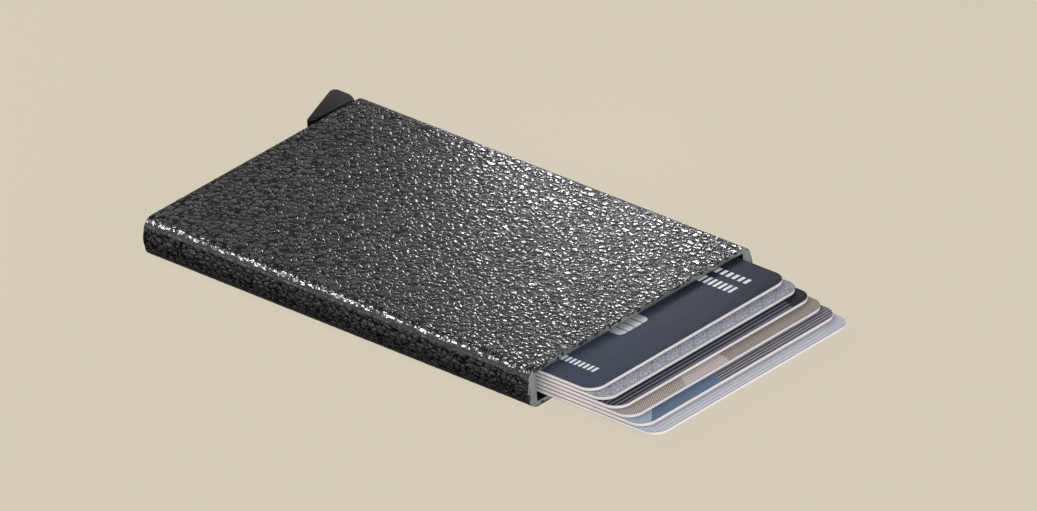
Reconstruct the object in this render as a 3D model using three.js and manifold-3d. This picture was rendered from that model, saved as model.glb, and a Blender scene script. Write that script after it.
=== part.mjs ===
// Slide-out card wallet: a flat aluminium case with a coated surface, a moulded end cap that carries
// an eject lever, four grip strips and six cards fanned out of the open mouth.
//
// Frame, in millimetres: X across the case's width, Y along its length with the mouth towards -Y,
// Z up through its thickness. The origin is the centre of the case's flat bottom face.
import * as THREE from 'three';
import { mergeVertices } from 'three/addons/utils/BufferGeometryUtils.js';
import Module from 'manifold-3d';

const wasm = await Module();
wasm.setup();

// Case: an extruded tube with bowed sides.
const CASE_WIDTH = 62;
const CASE_LENGTH = 98;
const CASE_THICKNESS = 8.2;
const CASE_EDGE_RADIUS = 2.6;
const SIDE_BOW = 0.3;
const PLATE_WALL = 1.1;
const SIDE_WALL = 2.5;
const BAY_CORNER_RADIUS = 0.3;

// Cards: the standard bank card, stacked a hair's breadth apart.
const CARD_WIDTH = 53.98;
const CARD_LENGTH = 85.6;
const CARD_THICKNESS = 0.76;
const CARD_CORNER_RADIUS = 3.18;
const CARD_COUNT = 6;
const CARD_PITCH = 0.82;
const TOP_CARD_HEIGHT = 6.95;
const FAN_START = 12.95;
const FAN_STEP = 3.1;

// Contact plate of the top card, let into its upper face.
const CHIP_WIDTH = 8.1;
const CHIP_LENGTH = 11.6;
const CHIP_THICKNESS = 0.3;
const CHIP_CORNER_RADIUS = 1.2;
const CHIP_FROM_CARD_END = 10.05;
const CHIP_SIDE_OFFSET = -4.35;
const CHIP_POCKET_GAP = 0.08;

// Lever: a wedge outside the closed end, a neck, a hub on the pivot pin and one finger for each card.
const PIVOT_X = 25.2;
const PIVOT_Y = 42.5;
const LEVER_SWING = THREE.MathUtils.degToRad(36);
const STORED_RECESS = 1.5;
const FINGER_EDGE = 3.9;
const FINGER_WIDTH = 3.4;
const FINGER_THICKNESS = 0.56;
const LEVER_FLOOR = 2.25;
const LEVER_TOP = 6.85;
const HUB_RADIUS = 2.8;
const ARM_ROOT = 6;
const ARM_ROOT_INNER = 0.8;
const ARM_ROOT_SPARE = 1.2;
const FINGER_GAP = 0.1;
const FINGER_TIP_RADIUS = 0.4;
const FINGER_TIP_SLOPE = 0.8;
const WEDGE_EDGE = 0.35;
const NECK_INSET_BELOW = 0.5;
const NECK_INSET_ABOVE = 0.8;

// The wedge that the thumb pushes, seen from above, with its high end at the case's far corner, and
// the two corners where the neck ends inside it. Each corner is [x, y, radius].
const WEDGE_CORNERS = [
  [17.9, 52.85, 0.4],
  [19.8, 51.6, 0.5],
  [29.7, 50.9, 1.2],
  [30.7, 53.2, 1.5],
  [30.75, 57.2, 1.1],
  [29.3, 57.35, 0.9],
];
const NECK_END = [[28.2, 52.5, 0], [21.2, 52.7, 0]];

// Pivot pin and end cap.
const PIN_RADIUS = 1;
const PIN_TOP = 6.7;
const PIN_HOLE_GAP = 0.05;
const HUB_BORE_GAP = 0.3;
const FIT = 0.1;
const CAP_FLOOR_TOP = 2.05;
const CAP_FLOOR_START = 38.7;
const CAP_WALL = 2.5;
const CAP_SET_BACK = 0.2;
const CAP_TONGUE = 0.65;
const CAP_TONGUE_START = 39;
const CAP_TONGUE_SET_BACK = 1;
const LEVER_SLOT_START = 12.4;

// A shallow panel let into the cap's outer face, and stiffening ribs on its inner face.
const PANEL_MARGIN = 3;
const PANEL_DEPTH = 0.6;
const PANEL_BOTTOM = 2.6;
const PANEL_TOP_MARGIN = 1;
const RIB_PLACES = [-18, -6, 6];
const RIB_WIDTH = 1;
const RIB_REACH = 1.6;
const RIB_BOTTOM = 1.5;
const RIB_TOP_MARGIN = 1.2;
const OVERLAP = 1;

// Grip strips along the inside of both side walls.
const STRIP_START = -46;
const STRIP_END = 20;
const STRIP_BACKING = 0.65;
const STRIP_FACE = 0.45;
const STRIP_BOTTOM = 1.7;
const STRIP_TOP = 6.6;
const STRIP_LEAD = 1.5;

const HALF_LENGTH = CASE_LENGTH / 2;
const BAY_HALF_WIDTH = CASE_WIDTH / 2 - SIDE_WALL;
const BAY_FLOOR = PLATE_WALL;
const BAY_CEILING = CASE_THICKNESS - PLATE_WALL;

const finishes = {
  coated_aluminium: { color: 0x2b2a2b, roughness: 0.45, metalness: 0.3 },
  black_moulding: { color: 0x3a383a, roughness: 0.55, metalness: 0 },
  steel: { color: 0xb4b6ba, roughness: 0.3, metalness: 1 },
  grip_foam: { color: 0x1d1c1e, roughness: 0.95, metalness: 0 },
  grip_felt: { color: 0x3b3b3f, roughness: 1, metalness: 0 },
  chip_plate: { color: 0xcfd1d6, roughness: 0.3, metalness: 1 },
};
const cardColours = [0x3e4757, 0xa4a6ac, 0x262b3a, 0xa39a93, 0x5e7085, 0xb9bec6];

// A closed outline through corner points; each corner is [x, y, radius].
function roundedOutline(corners) {
  const outline = new THREE.Shape();
  corners.forEach(([x, y, radius], index) => {
    const corner = new THREE.Vector2(x, y);
    const before = corners[(index + corners.length - 1) % corners.length];
    const after = corners[(index + 1) % corners.length];
    const toBefore = new THREE.Vector2(before[0], before[1]).sub(corner).normalize();
    const toAfter = new THREE.Vector2(after[0], after[1]).sub(corner).normalize();
    const halfAngle = Math.acos(THREE.MathUtils.clamp(toBefore.dot(toAfter), -1, 1)) / 2;
    const run = radius / Math.tan(halfAngle);
    const start = corner.clone().addScaledVector(toBefore, run);
    const middle = toBefore.clone().add(toAfter).normalize();
    const centre = corner.clone().addScaledVector(middle, radius / Math.sin(halfAngle));
    const end = corner.clone().addScaledVector(toAfter, run);
    if (index === 0) outline.moveTo(start.x, start.y);
    else outline.lineTo(start.x, start.y);
    if (radius > 0) {
      const startAngle = start.clone().sub(centre).angle();
      const endAngle = end.clone().sub(centre).angle();
      const turn = toBefore.x * toAfter.y - toBefore.y * toAfter.x;
      outline.absarc(centre.x, centre.y, radius, startAngle, endAngle, turn > 0);
    }
  });
  outline.closePath();
  return outline;
}

function rectangle(left, bottom, right, top, radius = 0) {
  return roundedOutline([[left, bottom, radius], [right, bottom, radius], [right, top, radius], [left, top, radius]]);
}

// A slab with its outline in the XY plane, from one height to another.
function slab(outline, bottom, top, curveSegments = 6) {
  const geometry = new THREE.ExtrudeGeometry(outline, { depth: top - bottom, bevelEnabled: false, curveSegments });
  return geometry.translate(0, 0, bottom);
}

// A slab whose top and bottom edges are rounded over.
function softSlab(outline, bottom, top, edge, curveSegments = 6) {
  const geometry = new THREE.ExtrudeGeometry(outline, {
    depth: top - bottom - 2 * edge,
    bevelEnabled: true,
    bevelThickness: edge,
    bevelSize: edge,
    bevelOffset: -edge,
    bevelSegments: 3,
    curveSegments,
  });
  return geometry.translate(0, 0, bottom + edge);
}

function box(left, front, bottom, right, back, top) {
  const geometry = new THREE.BoxGeometry(right - left, back - front, top - bottom);
  return geometry.translate((left + right) / 2, (front + back) / 2, (bottom + top) / 2);
}

function upright(radius, bottom, top, x, y, segments = 32) {
  const geometry = new THREE.CylinderGeometry(radius, radius, top - bottom, segments);
  return geometry.rotateX(Math.PI / 2).translate(x, y, (bottom + top) / 2);
}

function toSolid(geometry) {
  const bare = geometry.clone();
  bare.deleteAttribute('normal');
  bare.deleteAttribute('uv');
  const merged = mergeVertices(bare);
  const triVerts = new Uint32Array(merged.index.array);
  const vertProperties = new Float32Array(merged.attributes.position.array);
  return new wasm.Manifold(new wasm.Mesh({ numProp: 3, vertProperties, triVerts }));
}

function toGeometry(solid) {
  const mesh = solid.getMesh();
  const geometry = new THREE.BufferGeometry();
  geometry.setAttribute('position', new THREE.BufferAttribute(new Float32Array(mesh.vertProperties), 3));
  geometry.setIndex(new THREE.BufferAttribute(new Uint32Array(mesh.triVerts), 1));
  geometry.computeVertexNormals();
  return geometry;
}

function joined(...geometries) {
  return toGeometry(geometries.map(toSolid).reduce((sum, next) => sum.add(next)));
}

function cut(geometry, ...tools) {
  return toGeometry(tools.map(toSolid).reduce((rest, tool) => rest.subtract(tool), toSolid(geometry)));
}

function part(name, geometry, finish) {
  const mesh = new THREE.Mesh(geometry, new THREE.MeshStandardMaterial(finish));
  mesh.name = name;
  return mesh;
}

// The case's section, drawn in X and height: flat top and bottom, round edges, slightly bowed sides.
function caseSection() {
  const side = CASE_WIDTH / 2 - SIDE_BOW;
  const low = CASE_EDGE_RADIUS;
  const high = CASE_THICKNESS - CASE_EDGE_RADIUS;
  const middle = CASE_THICKNESS / 2;
  const section = new THREE.Shape();
  section.moveTo(-side + low, 0);
  section.lineTo(side - low, 0);
  section.absarc(side - low, low, low, -Math.PI / 2, 0, false);
  section.quadraticCurveTo(side + 2 * SIDE_BOW, middle, side, high);
  section.absarc(side - low, high, low, 0, Math.PI / 2, false);
  section.lineTo(-side + low, CASE_THICKNESS);
  section.absarc(-side + low, high, low, Math.PI / 2, Math.PI, false);
  section.quadraticCurveTo(-side - 2 * SIDE_BOW, middle, -side, low);
  section.absarc(-side + low, low, low, Math.PI, 1.5 * Math.PI, false);
  section.holes.push(
    rectangle(-BAY_HALF_WIDTH, BAY_FLOOR, BAY_HALF_WIDTH, BAY_CEILING, BAY_CORNER_RADIUS),
  );
  return section;
}

function caseTube() {
  const options = { depth: CASE_LENGTH, bevelEnabled: false, curveSegments: 8 };
  const tube = new THREE.ExtrudeGeometry(caseSection(), options);
  return tube.rotateX(Math.PI / 2).translate(0, HALF_LENGTH, 0);
}

// The cap: a floor plate under the lever, a back wall beside its slot, and one side tongue.
function endCap() {
  const side = BAY_HALF_WIDTH - FIT;
  const back = HALF_LENGTH - CAP_SET_BACK;
  const inner = back - CAP_WALL;
  const bottom = BAY_FLOOR + 2 * FIT;
  const floor = box(-side, CAP_FLOOR_START, BAY_FLOOR + FIT, side, back, CAP_FLOOR_TOP);
  const wall = box(-side, inner, bottom, LEVER_SLOT_START, back, BAY_CEILING - FIT);
  const tongue = box(
    -side, CAP_TONGUE_START, bottom,
    -side + CAP_TONGUE, back - CAP_TONGUE_SET_BACK, BAY_CEILING - 4 * FIT,
  );
  const panel = box(
    -side + PANEL_MARGIN, back - PANEL_DEPTH, PANEL_BOTTOM,
    LEVER_SLOT_START - PANEL_MARGIN, back + OVERLAP, BAY_CEILING - PANEL_TOP_MARGIN,
  );
  const pinHole = upright(PIN_RADIUS + PIN_HOLE_GAP, 0, PIN_TOP, PIVOT_X, PIVOT_Y);
  const ribs = RIB_PLACES.map((x) => box(
    x - RIB_WIDTH / 2, inner - RIB_REACH, RIB_BOTTOM,
    x + RIB_WIDTH / 2, inner + OVERLAP, BAY_CEILING - RIB_TOP_MARGIN,
  ));
  return cut(joined(floor, wall, tongue, ...ribs), panel, pinHole);
}

function pivotPin() {
  return upright(PIN_RADIUS, BAY_FLOOR + FIT, PIN_TOP, PIVOT_X, PIVOT_Y);
}

function ejectLever() {
  const wedge = softSlab(roundedOutline(WEDGE_CORNERS), LEVER_FLOOR, LEVER_TOP, WEDGE_EDGE);
  const neckOutline = roundedOutline([
    [PIVOT_X - HUB_RADIUS, PIVOT_Y, 0],
    [PIVOT_X + HUB_RADIUS, PIVOT_Y, 0],
    ...NECK_END,
  ]);
  const neck = slab(neckOutline, LEVER_FLOOR + NECK_INSET_BELOW, LEVER_TOP - NECK_INSET_ABOVE);
  const hub = upright(HUB_RADIUS, LEVER_FLOOR, LEVER_TOP, PIVOT_X, PIVOT_Y);
  const front = PIVOT_Y - FINGER_EDGE;
  const root = box(
    PIVOT_X - ARM_ROOT, front, LEVER_FLOOR,
    PIVOT_X - ARM_ROOT_INNER, front + FINGER_WIDTH + ARM_ROOT_SPARE, LEVER_TOP,
  );
  const bore = upright(PIN_RADIUS + HUB_BORE_GAP, 0, CASE_THICKNESS, PIVOT_X, PIVOT_Y);
  return cut(joined(hub, neck, wedge, root), bore);
}

// How far card `level` travels from fully stored to its fanned place; level 0 is the top card.
function cardTravel(level) {
  return STORED_RECESS + FAN_START + FAN_STEP * level;
}

// The reach that turns the lever's swing into that travel.
function fingerReach(level) {
  const lag = FINGER_EDGE * (1 - Math.cos(LEVER_SWING));
  return (cardTravel(level) + lag) / Math.sin(LEVER_SWING);
}

function cardTop(level) {
  return TOP_CARD_HEIGHT - CARD_PITCH * level;
}

function leverFinger(level) {
  const front = PIVOT_Y - FINGER_EDGE;
  const top = cardTop(level) - (CARD_THICKNESS - FINGER_THICKNESS) / 2;
  const tipBack = PIVOT_X - fingerReach(level) + FINGER_TIP_SLOPE;
  const outline = roundedOutline([
    [PIVOT_X - fingerReach(level), front, FINGER_TIP_RADIUS],
    [PIVOT_X - ARM_ROOT - FINGER_GAP, front, 0],
    [PIVOT_X - ARM_ROOT - FINGER_GAP, front + FINGER_WIDTH, 0],
    [tipBack, front + FINGER_WIDTH - FINGER_TIP_SLOPE, FINGER_TIP_SLOPE],
  ]);
  return slab(outline, top - FINGER_THICKNESS, top, 4);
}

function gripBacking(side) {
  const outer = BAY_HALF_WIDTH - FIT;
  const inner = outer - STRIP_BACKING;
  const [left, right] = side > 0 ? [inner, outer] : [-outer, -inner];
  return box(left, STRIP_START, STRIP_BOTTOM, right, STRIP_END, STRIP_TOP);
}

// The felt face, with rounded ends that lead the cards in.
function gripFace(side) {
  const outer = BAY_HALF_WIDTH - 2 * FIT - STRIP_BACKING;
  const inner = outer - STRIP_FACE;
  const outline = new THREE.Shape();
  outline.moveTo(side * outer, STRIP_START);
  outline.quadraticCurveTo(side * inner, STRIP_START, side * inner, STRIP_START + STRIP_LEAD);
  outline.lineTo(side * inner, STRIP_END - STRIP_LEAD);
  outline.quadraticCurveTo(side * inner, STRIP_END, side * outer, STRIP_END);
  outline.closePath();
  return slab(outline, STRIP_BOTTOM, STRIP_TOP);
}

function cardFront(level) {
  return -HALF_LENGTH - FAN_START - FAN_STEP * level;
}

function card(level) {
  const front = cardFront(level);
  const half = CARD_WIDTH / 2;
  const outline = rectangle(-half, front, half, front + CARD_LENGTH, CARD_CORNER_RADIUS);
  return slab(outline, cardTop(level) - CARD_THICKNESS, cardTop(level), 8);
}

function chipOutline(margin) {
  const front = cardFront(0) + CHIP_FROM_CARD_END;
  const half = CHIP_WIDTH / 2 + margin;
  const left = CHIP_SIDE_OFFSET - half;
  const right = CHIP_SIDE_OFFSET + half;
  return rectangle(left, front - margin, right, front + CHIP_LENGTH + margin, CHIP_CORNER_RADIUS + margin);
}

function chippedCard() {
  const top = cardTop(0);
  const pocketFloor = top - CHIP_THICKNESS - CHIP_POCKET_GAP;
  return cut(card(0), slab(chipOutline(CHIP_POCKET_GAP), pocketFloor, top + OVERLAP));
}

function chipPlate() {
  return slab(chipOutline(0), cardTop(0) - CHIP_THICKNESS, cardTop(0));
}

const wallet = new THREE.Group();
wallet.add(part('case_tube', caseTube(), finishes.coated_aluminium));
wallet.add(part('end_cap', endCap(), finishes.black_moulding));
wallet.add(part('pivot_pin', pivotPin(), finishes.steel));

const lever = new THREE.Group();
lever.add(part('eject_lever', ejectLever(), finishes.black_moulding));
for (let level = 0; level < CARD_COUNT; level += 1) {
  lever.add(part(`lever_finger_${level + 1}`, leverFinger(level), finishes.black_moulding));
}
wallet.add(lever);

for (const [label, side] of [['near', -1], ['far', 1]]) {
  wallet.add(part(`${label}_grip_backing`, gripBacking(side), finishes.grip_foam));
  wallet.add(part(`${label}_grip_felt`, gripFace(side), finishes.grip_felt));
}

for (let level = 0; level < CARD_COUNT; level += 1) {
  const body = level === 0 ? chippedCard() : card(level);
  wallet.add(part(`card_${level + 1}`, body, { color: cardColours[level], roughness: 0.4, metalness: 0 }));
}
wallet.add(part('card_1_chip', chipPlate(), finishes.chip_plate));

export default wallet;
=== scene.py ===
import math

import bmesh
import bpy
from bpy.props import FloatProperty, FloatVectorProperty, PointerProperty
from mathutils import Matrix, Vector


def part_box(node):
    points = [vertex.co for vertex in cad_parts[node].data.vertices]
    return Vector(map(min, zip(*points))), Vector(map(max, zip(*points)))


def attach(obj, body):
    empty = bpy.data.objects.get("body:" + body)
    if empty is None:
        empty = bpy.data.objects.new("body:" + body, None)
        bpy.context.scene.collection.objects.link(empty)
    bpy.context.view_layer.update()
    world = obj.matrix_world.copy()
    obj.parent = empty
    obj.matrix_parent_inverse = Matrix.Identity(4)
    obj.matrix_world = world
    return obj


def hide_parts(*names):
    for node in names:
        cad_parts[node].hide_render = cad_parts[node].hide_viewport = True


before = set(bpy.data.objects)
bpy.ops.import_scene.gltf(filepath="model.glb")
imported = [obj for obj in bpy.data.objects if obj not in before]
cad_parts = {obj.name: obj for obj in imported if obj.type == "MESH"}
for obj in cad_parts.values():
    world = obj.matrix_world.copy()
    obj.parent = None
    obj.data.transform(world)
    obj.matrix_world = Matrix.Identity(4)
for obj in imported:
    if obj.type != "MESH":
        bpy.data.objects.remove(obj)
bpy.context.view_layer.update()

bl_info = {
    "name": "Slide-out card wallet",
    "version": (1, 0, 0),
    "blender": (4, 5, 0),
    "location": "View3D > Sidebar > Card Wallet",
    "description": "Builds a coated aluminium card wallet with six fanned cards and an eject lever",
    "category": "Object",
}

MM = 0.001
CASE_LOW, CASE_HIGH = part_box("case_tube")
CARD_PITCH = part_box("card_1")[0][2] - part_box("card_2")[0][2]
CARD_GAP = (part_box("card_1")[0][2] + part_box("card_2")[1][2]) / 2  # height of the gap under card 1
LOOKING, PARALLEL = 0.9, 0.999  # least share of a face's normal or of an edge along its axis

# The coat's relief: cells per pebble size across, along and up the case, and how far noise bends
# them. The pebbles are drawn out along the case, as the coat flowed.
PEBBLE_CELLS = (1.12, 0.85, 1.5)
PEBBLE_BEND = (1.1, 1.1, 0.9)
CREASE_WIDTH = 0.26  # cells from a crease's bottom to the crown
CROWN_SHARE, SWELL_SHARE, SWELL_SINK = 0.68, 0.45, -0.08
STRETCH_FROM, STRETCH_TO = 0.9 * MM, 2.0 * MM  # distance from the outside of a rounded edge
STRETCH_SHARE = 0.22  # of the full relief, left on a rounded edge
UNPRESSED = "unpressed"  # attribute: a point's place before the relief

# The tube's skin and the coat's two shells.
ROUND_SEGMENTS, SIDE_CUTS = 11, 9
COAT_SET_BACK = 0.03 * MM  # from the case's ends
COAT_SEAM = 1.2 * MM  # height of the line where they meet
END_REACH = 0.12 * MM  # how near an end a point has to be to belong to its rim
PLAIN_FACE = 0.08 * MM * MM  # area: larger faces than this are flat strips, not relief

# Rows of plain blocks on the navy card, in mm: a row's two sides, its end, the step from block to
# block and a block's width. Then where every row and its first block start.
BLOCK_ROWS = (
    (-21.6, -19.8, 24, 1.1, 0.62), (15.9, 18.3, 22, 1.25, 0.7), (20.2, 22.0, 28, 1.45, 0.8))
ROW_START, FIRST_BLOCK = 4.7, 5.2

# The chip.
CHIP_CORNER = 1.2 * MM
CHIP_CLEARANCE = 0.06 * MM  # round the chip in its pocket
GROOVE_WIDTH, GROOVE_DEPTH = 0.24 * MM, 0.12 * MM

# The stage. Softboxes: name, place, target, width, length, brightness, direction of its length and
# spread in degrees.
ALONG_CASE, UPRIGHT = (0, 1, 0), (0, 0, 1)
SOFTBOXES = (
    ("far side strip", (0.215, 0.125, 0.118), (0.03, 0.125, 0.008), 0.035, 0.12, 2.4,
     ALONG_CASE, 180),
    ("gridded strip", (0.104, 0.050, 0.056), (0.025, -0.03, 0.008), 0.014, 0.06, 4.6,
     ALONG_CASE, 75),
    ("edge strip", (-0.134, 0.243, 0.302), (-0.03, 0.243, 0.008), 0.06, 0.18, 32,
     ALONG_CASE, 180),
    ("near side fill", (-0.55, 0.50, 0.13), (-0.03, 0.0, 0.004), 0.40, 0.12, 1.8, UPRIGHT, 180),
    ("front fill", (-0.30, -0.75, 0.36), (0.0, -0.05, 0.0), 0.5, 0.35, 8.0, UPRIGHT, 180),
)
# The room's brightness from straight below (0) to straight above (1).
ROOM = (
    (0.0, 0.015), (0.22, 0.03), (0.42, 0.16), (0.55, 0.52), (0.78, 0.52), (0.9, 0.16), (1.0, 0.1))
TABLE_SIDE = (0.626, -0.615, -0.480)  # the way to the lit table in front of the mouth
CAMERA_TARGET = Vector((9.927, -8.853, 1.596)) * MM
FLOOR_GLOW, FLOOR_LIT = 0.935, 0.05  # shares of its colour: sent out, and lit
FLOOR_SIZE, FLOOR_DROP = 12, 0.02 * MM


def linear(hex_code):
    """Linear red, green and blue of an sRGB hex colour."""
    channels = [int(hex_code[i:i + 2], 16) / 255 for i in (1, 3, 5)]
    return [c / 12.92 if c <= 0.04045 else ((c + 0.055) / 1.055) ** 2.4 for c in channels]


def opaque(colour):
    """A colour for a shader socket: hex codes and linear colours get full alpha, sockets stay."""
    if isinstance(colour, bpy.types.NodeSocket):
        return colour
    return (*(linear(colour) if isinstance(colour, str) else colour)[:3], 1.0)


# ----- sizes and colours to change


class CaseSettings(bpy.types.PropertyGroup):
    edge_radius: FloatProperty(
        name="Edge radius", description="Rounding of the four long edges",
        default=2.6 * MM, min=0.5 * MM, max=4 * MM, unit="LENGTH")
    side_bow: FloatProperty(
        name="Side bow", description="How far the long sides swell between their edges",
        default=0.3 * MM, min=0, max=1 * MM, unit="LENGTH")
    plate_wall: FloatProperty(
        name="Plate wall", description="Metal above and below the cards",
        default=1.1 * MM, min=0.5 * MM, max=2 * MM, unit="LENGTH")
    side_wall: FloatProperty(
        name="Side wall", description="Metal on either side of the cards",
        default=2.5 * MM, min=1 * MM, max=3 * MM, unit="LENGTH")
    coat_thickness: FloatProperty(
        name="Coat thickness", description="Textured coat on the outside of the tube",
        default=0.3 * MM, min=0.1 * MM, max=0.6 * MM, unit="LENGTH")
    pebble: FloatProperty(
        name="Pebble size", description="Distance from one pebble of the coat to the next",
        default=1.4 * MM, min=0.5 * MM, max=4 * MM, unit="LENGTH")
    relief: FloatProperty(
        name="Relief", description="Depth of the creases between pebbles",
        default=0.13 * MM, min=0, max=0.3 * MM, unit="LENGTH")
    mesh_step: FloatProperty(
        name="Mesh step", description="Spacing of the mesh that carries the relief",
        default=0.285 * MM, min=0.25 * MM, max=2 * MM, unit="LENGTH")
    coat_colour: FloatVectorProperty(
        name="Coat colour", description="Colour of the textured coat",
        subtype="COLOR", default=linear("#303031"), min=0, max=1)


class LeverSettings(bpy.types.PropertyGroup):
    edge_rounding: FloatProperty(
        name="Edge rounding", description="Rounding of the moulding's sharp edges",
        default=0.3 * MM, min=0, max=0.5 * MM, unit="LENGTH")
    colour: FloatVectorProperty(
        name="Moulding colour", description="Colour of the lever and end cap",
        subtype="COLOR", default=linear("#141314"), min=0, max=1)


class CardSettings(bpy.types.PropertyGroup):
    corner_radius: FloatProperty(
        name="Corner radius", description="Rounding of a card's corners",
        default=3.18 * MM, min=1 * MM, max=5 * MM, unit="LENGTH")
    edge_rounding: FloatProperty(
        name="Edge rounding", description="Softening of a card's cut edge",
        default=0.11 * MM, min=0, max=0.2 * MM, unit="LENGTH")
    core_colour: FloatVectorProperty(
        name="Core colour", description="Colour of the plastic seen at the cut edge",
        subtype="COLOR", default=linear("#F4EEF0"), min=0, max=1)


class StageSettings(bpy.types.PropertyGroup):
    floor_colour: FloatVectorProperty(
        name="Floor colour", description="Colour of the pale floor",
        subtype="COLOR", default=linear("#D6CEBA"), min=0, max=1)
    camera_azimuth: FloatProperty(
        name="Camera azimuth", description="Direction of the camera round the wallet",
        default=math.radians(-45.492), unit="ROTATION")
    camera_elevation: FloatProperty(
        name="Camera elevation", description="Angle of the camera above the floor",
        default=math.radians(28.681), unit="ROTATION")
    camera_roll: FloatProperty(
        name="Camera roll", description="Turn of the camera about its own axis",
        default=math.radians(-3.769), unit="ROTATION")
    camera_distance: FloatProperty(
        name="Camera distance", description="From the camera to the point it aims at",
        default=3.890, unit="LENGTH")
    lens: FloatProperty(
        name="Lens", description="Focal length on a 36 mm wide sensor, in millimetres",
        default=723.57)


# ----- hand tools


def hold(*pieces):
    """Selects these pieces and nothing else, the first of them active."""
    bpy.ops.object.select_all(action="DESELECT")
    for piece in pieces:
        piece.select_set(True)
    bpy.context.view_layer.objects.active = pieces[0]


def add_block(name, low, high):
    """A block from its lowest to its highest corner, with its place in its mesh."""
    low, high = Vector(low), Vector(high)
    bpy.ops.object.select_all(action="DESELECT")
    bpy.ops.mesh.primitive_cube_add(size=1, location=(low + high) / 2, scale=high - low)
    bpy.ops.object.transform_apply()
    piece = bpy.context.object
    piece.name = piece.data.name = name
    return piece


def open_mesh(piece):
    """Goes into edit mode on this piece with nothing selected."""
    hold(piece)
    bpy.ops.object.mode_set(mode="EDIT")
    bpy.ops.mesh.select_all(action="DESELECT")


def close_mesh():
    """Goes back to object mode."""
    bpy.ops.object.mode_set(mode="OBJECT")


def pick(piece, kind, wanted):
    """Selects the vertices, edges or faces that wanted() accepts, and nothing else."""
    bpy.ops.mesh.select_mode(type=kind)
    bpy.ops.mesh.select_all(action="DESELECT")
    mesh = bmesh.from_edit_mesh(piece.data)
    elements = {"VERT": mesh.verts, "EDGE": mesh.edges, "FACE": mesh.faces}[kind]
    for element in elements:
        if wanted(element):
            element.select_set(True)
    bmesh.update_edit_mesh(piece.data)


def middle(edge):
    """The point halfway along an edge."""
    return (edge.verts[0].co + edge.verts[1].co) / 2


def looks_along(face, axis):
    """Whether a face's normal is near axis 0, 1 or 2."""
    return abs(face.normal[axis]) > LOOKING


def runs_along(edge, axis):
    """Whether an edge is parallel to axis 0, 1 or 2."""
    step = edge.verts[1].co - edge.verts[0].co
    return abs(step[axis]) > PARALLEL * step.length


def finish_with(piece, kind, **settings):
    """Adds one modifier to the piece and applies it."""
    hold(piece)
    modifier = piece.modifiers.new(kind.title(), kind)
    for name, value in settings.items():
        setattr(modifier, name, value)
    bpy.ops.object.modifier_apply(modifier=modifier.name)


def carve(piece, tool):
    """Cuts the tool's shape out of the piece and throws the tool away."""
    finish_with(piece, "BOOLEAN", operation="DIFFERENCE", solver="EXACT", object=tool)
    bpy.data.objects.remove(tool)


def copy_of(source, name):
    """A copy of a piece with its own mesh and no modifiers or parent."""
    twin = bpy.data.objects.new(name, source.data.copy())
    twin.data.name = name
    bpy.context.scene.collection.objects.link(twin)
    return twin


def eased_copy(node_name, name, width, segments=3):
    """A merged copy of a CAD node with its sharp edges rounded."""
    piece = copy_of(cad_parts[node_name], name)
    piece.data.materials.clear()
    open_mesh(piece)
    bpy.ops.mesh.select_all(action="SELECT")
    bpy.ops.mesh.remove_doubles(threshold=1e-6)
    bpy.ops.mesh.dissolve_limited(angle_limit=math.radians(0.5))
    close_mesh()
    sharp = 34
    smooth(piece, sharp)
    finish_with(piece, "BEVEL", width=width, segments=segments, limit_method="ANGLE",
                angle_limit=math.radians(sharp), use_clamp_overlap=True, harden_normals=True)
    return piece


def smooth(piece, degrees):
    """Shades the piece smooth but for edges sharper than this."""
    hold(piece)
    bpy.ops.object.shade_smooth_by_angle(angle=math.radians(degrees), keep_sharp_edges=False)


def set_in_place(piece, body, slot, *nodes):
    """Joins a finished piece to its CAD body, hides the nodes it stands for; slot is not used."""
    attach(piece, body)
    if nodes:
        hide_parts(*nodes)


# ----- materials


def add(tree, kind, inputs=None, **settings):
    """Adds a node, gives it its settings, and fills its inputs with values or links."""
    made = tree.nodes.new(kind)
    for name, value in settings.items():
        setattr(made, name, value)
    for name, value in (inputs or {}).items():
        if isinstance(value, bpy.types.Node):
            value = value.outputs[0]
        if isinstance(value, bpy.types.NodeSocket):
            tree.links.new(value, made.inputs[name])
        else:
            made.inputs[name].default_value = value
    return made


def new_finish(name, **surface):
    """A material with a Principled shader whose even values are set on its own sockets."""
    material = bpy.data.materials.new(name)
    material.use_nodes = True
    tree = material.node_tree
    shader = next(n for n in tree.nodes if n.type == "BSDF_PRINCIPLED")
    for socket, value in surface.items():
        shader.inputs[socket.replace("_", " ")].default_value = value
    return material, tree, shader


def join_up(tree, shader, **links):
    """Links nodes or sockets to the shader's inputs, whose names have underscores for spaces."""
    for socket, source in links.items():
        if isinstance(source, bpy.types.Node):
            source = source.outputs[0]
        tree.links.new(source, shader.inputs[socket.replace("_", " ")])


def layered(tree, ground, *coats):
    """Lays colours over a ground colour. Each coat is a mask and the colour seen where it is 1."""
    # A colour Mix node takes its factor and two colours at 0, 6 and 7 and gives its result at 2.
    for mask, colour in coats:
        mix = add(tree, "ShaderNodeMix", {0: mask, 6: opaque(ground), 7: opaque(colour)},
                  data_type="RGBA")
        ground = mix.outputs[2]
    return ground


def varied(tree, pattern, dark, light, low, high):
    """Colour from dark to light and roughness from low to high, both following one pattern."""
    rough = add(tree, "ShaderNodeMapRange", {"Value": pattern, "To Min": low, "To Max": high})
    return {"Base_Color": layered(tree, dark, (pattern, light)), "Roughness": rough}


def grain(tree, spacing, detail=2.0, **inputs):
    """Noise with this spacing in millimetres. Three numbers, along x, y and z, draw it out into
    streaks."""
    steps = spacing if isinstance(spacing, tuple) else (spacing,) * 3
    place = add(tree, "ShaderNodeTexCoord").outputs["Object"]
    scaled = add(tree, "ShaderNodeMapping",
                 {"Vector": place, "Scale": [1 / (step * MM) for step in steps]})
    return add(tree, "ShaderNodeTexNoise",
               {"Vector": scaled, "Scale": 1.0, "Detail": detail, **inputs})


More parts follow.
